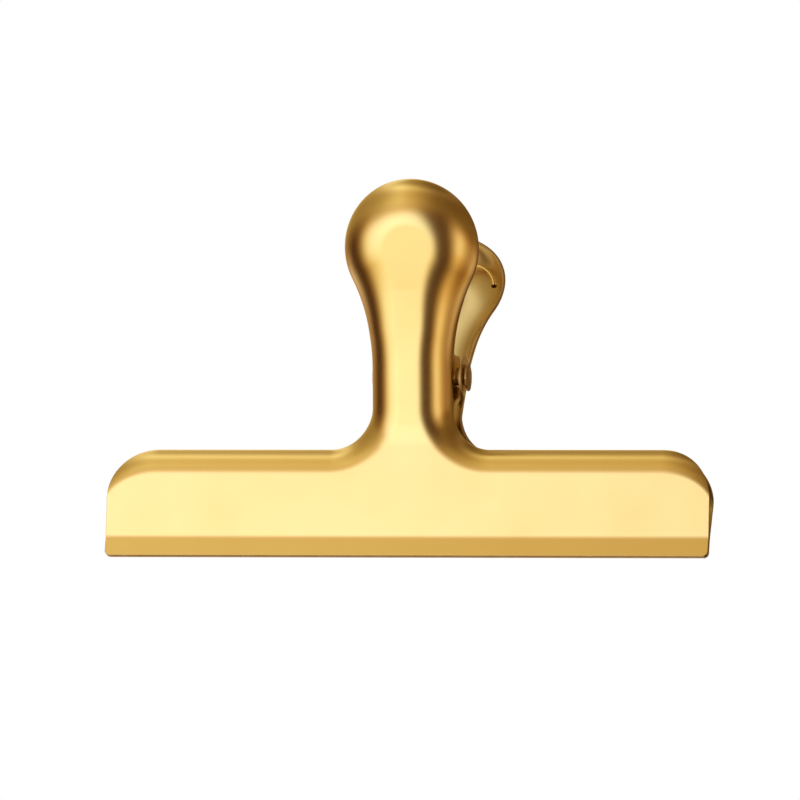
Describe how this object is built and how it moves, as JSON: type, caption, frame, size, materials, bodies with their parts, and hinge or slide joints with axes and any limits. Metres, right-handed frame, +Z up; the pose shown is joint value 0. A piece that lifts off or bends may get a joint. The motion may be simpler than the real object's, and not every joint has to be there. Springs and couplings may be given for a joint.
{
  "type": "long tail clip",
  "caption": "Sprung metal clip with long straight jaws, tapered handles with round heads, a riveted hinge pin and a coiled wire closing spring.",
  "frame": {"origin": "on the ground, under the middle of the two closed lips", "axes": "+X along the jaws, +Y from the front jaw to the rear jaw, +Z up from the lips to the handles"},
  "size_m": [0.12, 0.0412, 0.0713],
  "materials": {
    "plate": "satin gold plating",
    "rivet": "peened, satin gold plating",
    "wire": "drawn wire, satin gold plating"
  },
  "bodies": {
    "front_side": {"front_jaw": "plate", "pivot_pin": "rivet", "torsion_spring": "wire"},
    "rear_side": {"rear_jaw": "plate"}
  },
  "joints": [
    {"name": "jaw_hinge", "type": "hinge", "parent": "front_side", "child": "rear_side", "pos_m": [0, 0, 0.0365], "axis": [1, 0, 0], "range_deg": [0, 50], "stiffness_Nm_per_rad": 0.3, "springref_deg": -68.75, "deforming": ["torsion_spring"]}
  ]
}
